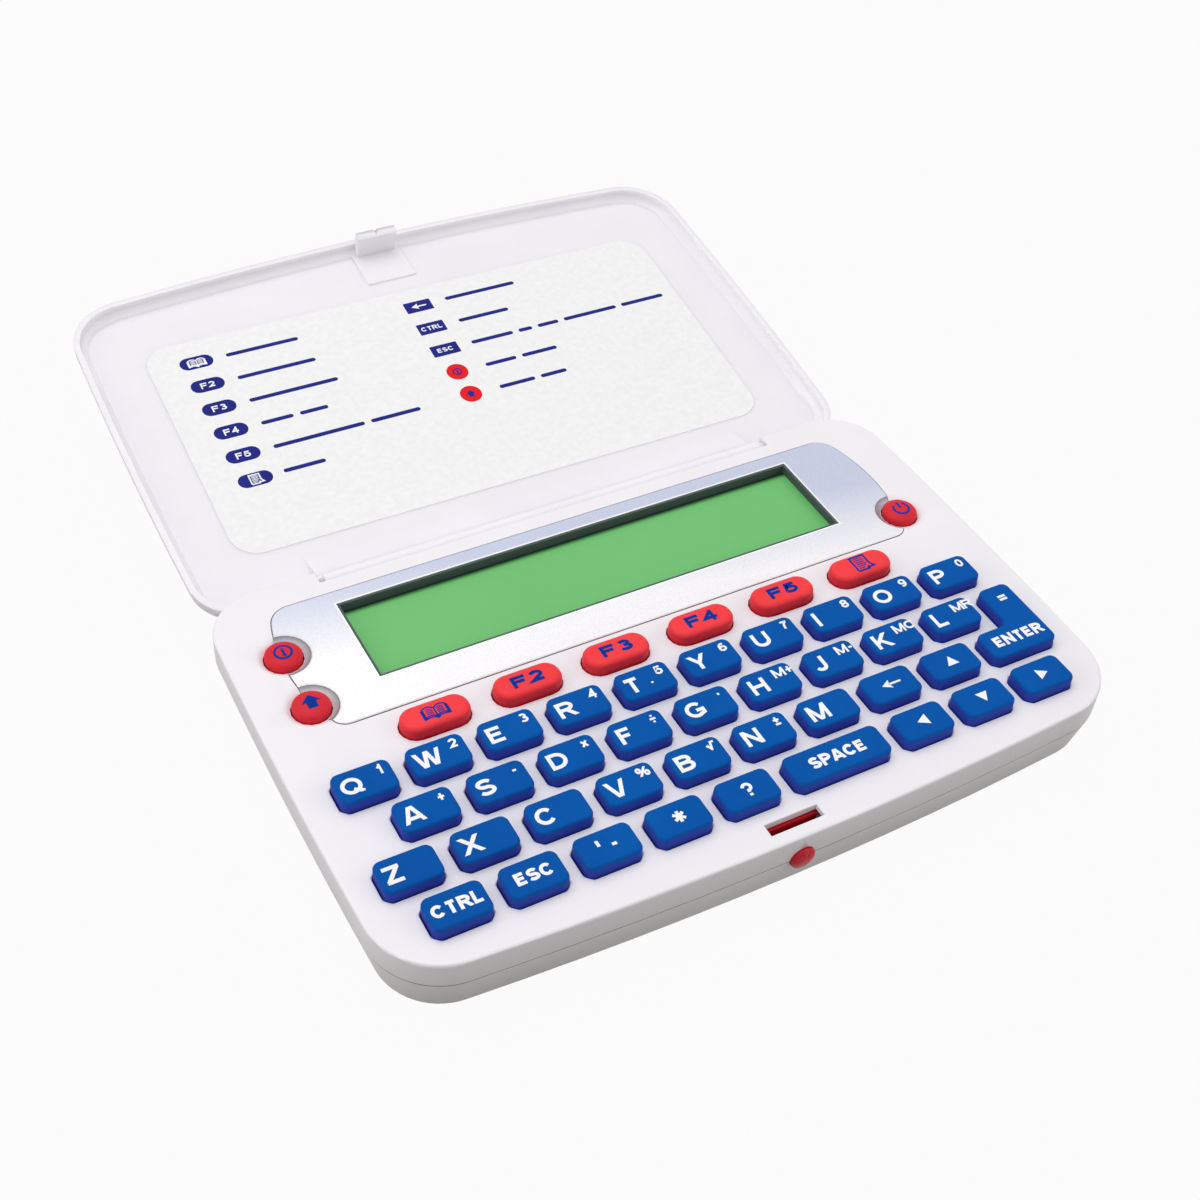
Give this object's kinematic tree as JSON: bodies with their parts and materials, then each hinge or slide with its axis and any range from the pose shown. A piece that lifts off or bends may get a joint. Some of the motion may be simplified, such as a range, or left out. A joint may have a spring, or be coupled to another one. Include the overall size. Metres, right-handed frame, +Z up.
{
  "type": "electronic dictionary",
  "caption": "Pocket electronic dictionary: flat case with letter keys, a strip display and a push-button latch, under a hinged protective lid.",
  "frame": {"origin": "centre of the case's footprint on the table", "axes": "+X to the user's right, +Y towards the lid's hinge, +Z up"},
  "size_m": [0.131, 0.1635, 0.0228],
  "materials": {
    "case_white": "satin moulded white",
    "lid_white": "satin moulded white",
    "bezel_silver": "pale silver paint",
    "surround_dark": "dark moulded",
    "lcd_glass": "green reflective display",
    "key_blue": "satin blue",
    "key_red": "satin red",
    "board_green": "solder mask",
    "mat_grey": "silicone",
    "cell_steel": "bright plated can",
    "steel": "plated"
  },
  "bodies": {
    "base": {"top_case": "case_white", "bottom_case": "case_white", "display_bezel": "bezel_silver", "display_surround": "surround_dark", "lcd_panel": "lcd_glass", "circuit_board": "board_green", "keypad_mat": "mat_grey", "battery_door": "case_white", "coin_cells": "cell_steel", "case_screws": "steel", "release_spring": "steel"},
    "lid": {"lid": "lid_white"},
    "release": {"release_button": "key_red"},
    "key_a": {"key_a": "key_blue"},
    "key_apostrophe": {"key_apostrophe": "key_blue"},
    "key_b": {"key_b": "key_blue"},
    "key_backspace": {"key_backspace": "key_blue"},
    "key_c": {"key_c": "key_blue"},
    "key_ctrl": {"key_ctrl": "key_blue"},
    "key_d": {"key_d": "key_blue"},
    "key_down": {"key_down": "key_blue"},
    "key_e": {"key_e": "key_blue"},
    "key_enter": {"key_enter": "key_blue"},
    "key_esc": {"key_esc": "key_blue"},
    "key_f": {"key_f": "key_blue"},
    "key_function_1": {"key_function_1": "key_red"},
    "key_function_2": {"key_function_2": "key_red"},
    "key_function_3": {"key_function_3": "key_red"},
    "key_function_4": {"key_function_4": "key_red"},
    "key_function_5": {"key_function_5": "key_red"},
    "key_function_6": {"key_function_6": "key_red"},
    "key_g": {"key_g": "key_blue"},
    "key_h": {"key_h": "key_blue"},
    "key_help": {"key_help": "key_red"},
    "key_i": {"key_i": "key_blue"},
    "key_j": {"key_j": "key_blue"},
    "key_k": {"key_k": "key_blue"},
    "key_l": {"key_l": "key_blue"},
    "key_left": {"key_left": "key_blue"},
    "key_m": {"key_m": "key_blue"},
    "key_n": {"key_n": "key_blue"},
    "key_o": {"key_o": "key_blue"},
    "key_p": {"key_p": "key_blue"},
    "key_power": {"key_power": "key_red"},
    "key_q": {"key_q": "key_blue"},
    "key_question": {"key_question": "key_blue"},
    "key_r": {"key_r": "key_blue"},
    "key_right": {"key_right": "key_blue"},
    "key_s": {"key_s": "key_blue"},
    "key_shift": {"key_shift": "key_red"},
    "key_space": {"key_space": "key_blue"},
    "key_star": {"key_star": "key_blue"},
    "key_t": {"key_t": "key_blue"},
    "key_u": {"key_u": "key_blue"},
    "key_up": {"key_up": "key_blue"},
    "key_v": {"key_v": "key_blue"},
    "key_w": {"key_w": "key_blue"},
    "key_x": {"key_x": "key_blue"},
    "key_y": {"key_y": "key_blue"},
    "key_z": {"key_z": "key_blue"}
  },
  "joints": [
    {"name": "lid_hinge", "type": "hinge", "parent": "base", "child": "lid", "pos_m": [0, 0.0403, 0.0104], "axis": [1, 0, 0], "range_deg": [0, 172]},
    {"name": "lid_release", "type": "slide", "parent": "base", "child": "release", "axis": [0, 1, 0], "range_m": [0, 0.001], "stiffness_N_per_m": 600, "springref_m": -0.0005, "deforming": ["release_spring"]},
    {"name": "press_a", "type": "slide", "parent": "base", "child": "key_a", "axis": [0, 0, -1], "range_m": [0, 0.0012], "stiffness_N_per_m": 400, "springref_m": -0.0005, "deforming": ["keypad_mat"]},
    {"name": "press_apostrophe", "type": "slide", "parent": "base", "child": "key_apostrophe", "axis": [0, 0, -1], "range_m": [0, 0.0012], "stiffness_N_per_m": 400, "springref_m": -0.0005, "deforming": ["keypad_mat"]},
    {"name": "press_b", "type": "slide", "parent": "base", "child": "key_b", "axis": [0, 0, -1], "range_m": [0, 0.0012], "stiffness_N_per_m": 400, "springref_m": -0.0005, "deforming": ["keypad_mat"]},
    {"name": "press_backspace", "type": "slide", "parent": "base", "child": "key_backspace", "axis": [0, 0, -1], "range_m": [0, 0.0012], "stiffness_N_per_m": 400, "springref_m": -0.0005, "deforming": ["keypad_mat"]},
    {"name": "press_c", "type": "slide", "parent": "base", "child": "key_c", "axis": [0, 0, -1], "range_m": [0, 0.0012], "stiffness_N_per_m": 400, "springref_m": -0.0005, "deforming": ["keypad_mat"]},
    {"name": "press_ctrl", "type": "slide", "parent": "base", "child": "key_ctrl", "axis": [0, 0, -1], "range_m": [0, 0.0012], "stiffness_N_per_m": 400, "springref_m": -0.0005, "deforming": ["keypad_mat"]},
    {"name": "press_d", "type": "slide", "parent": "base", "child": "key_d", "axis": [0, 0, -1], "range_m": [0, 0.0012], "stiffness_N_per_m": 400, "springref_m": -0.0005, "deforming": ["keypad_mat"]},
    {"name": "press_down", "type": "slide", "parent": "base", "child": "key_down", "axis": [0, 0, -1], "range_m": [0, 0.0012], "stiffness_N_per_m": 400, "springref_m": -0.0005, "deforming": ["keypad_mat"]},
    {"name": "press_e", "type": "slide", "parent": "base", "child": "key_e", "axis": [0, 0, -1], "range_m": [0, 0.0012], "stiffness_N_per_m": 400, "springref_m": -0.0005, "deforming": ["keypad_mat"]},
    {"name": "press_enter", "type": "slide", "parent": "base", "child": "key_enter", "axis": [0, 0, -1], "range_m": [0, 0.0012], "stiffness_N_per_m": 400, "springref_m": -0.0005, "deforming": ["keypad_mat"]},
    {"name": "press_esc", "type": "slide", "parent": "base", "child": "key_esc", "axis": [0, 0, -1], "range_m": [0, 0.0012], "stiffness_N_per_m": 400, "springref_m": -0.0005, "deforming": ["keypad_mat"]},
    {"name": "press_f", "type": "slide", "parent": "base", "child": "key_f", "axis": [0, 0, -1], "range_m": [0, 0.0012], "stiffness_N_per_m": 400, "springref_m": -0.0005, "deforming": ["keypad_mat"]},
    {"name": "press_function_1", "type": "slide", "parent": "base", "child": "key_function_1", "axis": [0, 0, -1], "range_m": [0, 0.0012], "stiffness_N_per_m": 400, "springref_m": -0.0005, "deforming": ["keypad_mat"]},
    {"name": "press_function_2", "type": "slide", "parent": "base", "child": "key_function_2", "axis": [0, 0, -1], "range_m": [0, 0.0012], "stiffness_N_per_m": 400, "springref_m": -0.0005, "deforming": ["keypad_mat"]},
    {"name": "press_function_3", "type": "slide", "parent": "base", "child": "key_function_3", "axis": [0, 0, -1], "range_m": [0, 0.0012], "stiffness_N_per_m": 400, "springref_m": -0.0005, "deforming": ["keypad_mat"]},
    {"name": "press_function_4", "type": "slide", "parent": "base", "child": "key_function_4", "axis": [0, 0, -1], "range_m": [0, 0.0012], "stiffness_N_per_m": 400, "springref_m": -0.0005, "deforming": ["keypad_mat"]},
    {"name": "press_function_5", "type": "slide", "parent": "base", "child": "key_function_5", "axis": [0, 0, -1], "range_m": [0, 0.0012], "stiffness_N_per_m": 400, "springref_m": -0.0005, "deforming": ["keypad_mat"]},
    {"name": "press_function_6", "type": "slide", "parent": "base", "child": "key_function_6", "axis": [0, 0, -1], "range_m": [0, 0.0012], "stiffness_N_per_m": 400, "springref_m": -0.0005, "deforming": ["keypad_mat"]},
    {"name": "press_g", "type": "slide", "parent": "base", "child": "key_g", "axis": [0, 0, -1], "range_m": [0, 0.0012], "stiffness_N_per_m": 400, "springref_m": -0.0005, "deforming": ["keypad_mat"]},
    {"name": "press_h", "type": "slide", "parent": "base", "child": "key_h", "axis": [0, 0, -1], "range_m": [0, 0.0012], "stiffness_N_per_m": 400, "springref_m": -0.0005, "deforming": ["keypad_mat"]},
    {"name": "press_help", "type": "slide", "parent": "base", "child": "key_help", "axis": [0, 0, -1], "range_m": [0, 0.0012], "stiffness_N_per_m": 400, "springref_m": -0.0005, "deforming": ["keypad_mat"]},
    {"name": "press_i", "type": "slide", "parent": "base", "child": "key_i", "axis": [0, 0, -1], "range_m": [0, 0.0012], "stiffness_N_per_m": 400, "springref_m": -0.0005, "deforming": ["keypad_mat"]},
    {"name": "press_j", "type": "slide", "parent": "base", "child": "key_j", "axis": [0, 0, -1], "range_m": [0, 0.0012], "stiffness_N_per_m": 400, "springref_m": -0.0005, "deforming": ["keypad_mat"]},
    {"name": "press_k", "type": "slide", "parent": "base", "child": "key_k", "axis": [0, 0, -1], "range_m": [0, 0.0012], "stiffness_N_per_m": 400, "springref_m": -0.0005, "deforming": ["keypad_mat"]},
    {"name": "press_l", "type": "slide", "parent": "base", "child": "key_l", "axis": [0, 0, -1], "range_m": [0, 0.0012], "stiffness_N_per_m": 400, "springref_m": -0.0005, "deforming": ["keypad_mat"]},
    {"name": "press_left", "type": "slide", "parent": "base", "child": "key_left", "axis": [0, 0, -1], "range_m": [0, 0.0012], "stiffness_N_per_m": 400, "springref_m": -0.0005, "deforming": ["keypad_mat"]},
    {"name": "press_m", "type": "slide", "parent": "base", "child": "key_m", "axis": [0, 0, -1], "range_m": [0, 0.0012], "stiffness_N_per_m": 400, "springref_m": -0.0005, "deforming": ["keypad_mat"]},
    {"name": "press_n", "type": "slide", "parent": "base", "child": "key_n", "axis": [0, 0, -1], "range_m": [0, 0.0012], "stiffness_N_per_m": 400, "springref_m": -0.0005, "deforming": ["keypad_mat"]},
    {"name": "press_o", "type": "slide", "parent": "base", "child": "key_o", "axis": [0, 0, -1], "range_m": [0, 0.0012], "stiffness_N_per_m": 400, "springref_m": -0.0005, "deforming": ["keypad_mat"]},
    {"name": "press_p", "type": "slide", "parent": "base", "child": "key_p", "axis": [0, 0, -1], "range_m": [0, 0.0012], "stiffness_N_per_m": 400, "springref_m": -0.0005, "deforming": ["keypad_mat"]},
    {"name": "press_power", "type": "slide", "parent": "base", "child": "key_power", "axis": [0, 0, -1], "range_m": [0, 0.0012], "stiffness_N_per_m": 400, "springref_m": -0.0005, "deforming": ["keypad_mat"]},
    {"name": "press_q", "type": "slide", "parent": "base", "child": "key_q", "axis": [0, 0, -1], "range_m": [0, 0.0012], "stiffness_N_per_m": 400, "springref_m": -0.0005, "deforming": ["keypad_mat"]},
    {"name": "press_question", "type": "slide", "parent": "base", "child": "key_question", "axis": [0, 0, -1], "range_m": [0, 0.0012], "stiffness_N_per_m": 400, "springref_m": -0.0005, "deforming": ["keypad_mat"]},
    {"name": "press_r", "type": "slide", "parent": "base", "child": "key_r", "axis": [0, 0, -1], "range_m": [0, 0.0012], "stiffness_N_per_m": 400, "springref_m": -0.0005, "deforming": ["keypad_mat"]},
    {"name": "press_right", "type": "slide", "parent": "base", "child": "key_right", "axis": [0, 0, -1], "range_m": [0, 0.0012], "stiffness_N_per_m": 400, "springref_m": -0.0005, "deforming": ["keypad_mat"]},
    {"name": "press_s", "type": "slide", "parent": "base", "child": "key_s", "axis": [0, 0, -1], "range_m": [0, 0.0012], "stiffness_N_per_m": 400, "springref_m": -0.0005, "deforming": ["keypad_mat"]},
    {"name": "press_shift", "type": "slide", "parent": "base", "child": "key_shift", "axis": [0, 0, -1], "range_m": [0, 0.0012], "stiffness_N_per_m": 400, "springref_m": -0.0005, "deforming": ["keypad_mat"]},
    {"name": "press_space", "type": "slide", "parent": "base", "child": "key_space", "axis": [0, 0, -1], "range_m": [0, 0.0012], "stiffness_N_per_m": 400, "springref_m": -0.0005, "deforming": ["keypad_mat"]},
    {"name": "press_star", "type": "slide", "parent": "base", "child": "key_star", "axis": [0, 0, -1], "range_m": [0, 0.0012], "stiffness_N_per_m": 400, "springref_m": -0.0005, "deforming": ["keypad_mat"]},
    {"name": "press_t", "type": "slide", "parent": "base", "child": "key_t", "axis": [0, 0, -1], "range_m": [0, 0.0012], "stiffness_N_per_m": 400, "springref_m": -0.0005, "deforming": ["keypad_mat"]},
    {"name": "press_u", "type": "slide", "parent": "base", "child": "key_u", "axis": [0, 0, -1], "range_m": [0, 0.0012], "stiffness_N_per_m": 400, "springref_m": -0.0005, "deforming": ["keypad_mat"]},
    {"name": "press_up", "type": "slide", "parent": "base", "child": "key_up", "axis": [0, 0, -1], "range_m": [0, 0.0012], "stiffness_N_per_m": 400, "springref_m": -0.0005, "deforming": ["keypad_mat"]},
    {"name": "press_v", "type": "slide", "parent": "base", "child": "key_v", "axis": [0, 0, -1], "range_m": [0, 0.0012], "stiffness_N_per_m": 400, "springref_m": -0.0005, "deforming": ["keypad_mat"]},
    {"name": "press_w", "type": "slide", "parent": "base", "child": "key_w", "axis": [0, 0, -1], "range_m": [0, 0.0012], "stiffness_N_per_m": 400, "springref_m": -0.0005, "deforming": ["keypad_mat"]},
    {"name": "press_x", "type": "slide", "parent": "base", "child": "key_x", "axis": [0, 0, -1], "range_m": [0, 0.0012], "stiffness_N_per_m": 400, "springref_m": -0.0005, "deforming": ["keypad_mat"]},
    {"name": "press_y", "type": "slide", "parent": "base", "child": "key_y", "axis": [0, 0, -1], "range_m": [0, 0.0012], "stiffness_N_per_m": 400, "springref_m": -0.0005, "deforming": ["keypad_mat"]},
    {"name": "press_z", "type": "slide", "parent": "base", "child": "key_z", "axis": [0, 0, -1], "range_m": [0, 0.0012], "stiffness_N_per_m": 400, "springref_m": -0.0005, "deforming": ["keypad_mat"]}
  ]
}
